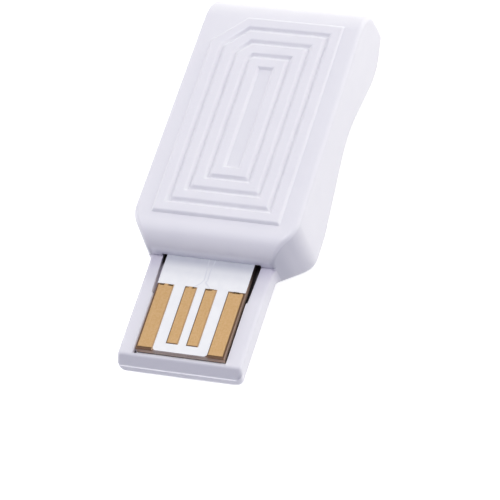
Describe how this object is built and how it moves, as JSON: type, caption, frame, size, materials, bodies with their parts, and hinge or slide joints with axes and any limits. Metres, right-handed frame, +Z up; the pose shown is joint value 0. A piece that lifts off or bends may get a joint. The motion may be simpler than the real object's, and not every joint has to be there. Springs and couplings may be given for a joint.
{
  "type": "usb wireless adapter",
  "caption": "Small white USB radio adapter: sculpted two-part housing with nested ridges on top, and a flat bare-board plug with four gold contacts",
  "frame": {"origin": "Centre of the footprint, on the surface that the adapter lies on", "axes": "+Z up from the wavy underside to the relief; the plug points along -Y, so +Y runs from plug to rear end; X across the width"},
  "size_m": [0.017, 0.0407, 0.0071],
  "materials": {
    "housing": "satin moulded white",
    "board": "sawn glass-epoxy edge",
    "mask": "white solder mask",
    "contact": "gold plated",
    "package": "black moulding compound",
    "ceramic": "ceramic with tinned ends",
    "can": "nickel plated"
  },
  "bodies": {
    "root": {"upper_shell": "housing", "lower_shell": "housing", "circuit_board": "board", "solder_mask": "mask", "contact_power": "contact", "contact_data_minus": "contact", "contact_data_plus": "contact", "contact_ground": "contact", "surge_protector": "package", "ferrite_bead": "ceramic", "voltage_regulator": "package", "memory_chip": "package", "radio_chip": "package", "crystal": "can", "balun_filter": "ceramic", "chip_antenna": "ceramic", "capacitor_1": "ceramic", "capacitor_2": "ceramic", "capacitor_3": "ceramic", "capacitor_4": "ceramic", "resistor_1": "package", "resistor_2": "package"}
  },
  "joints": []
}
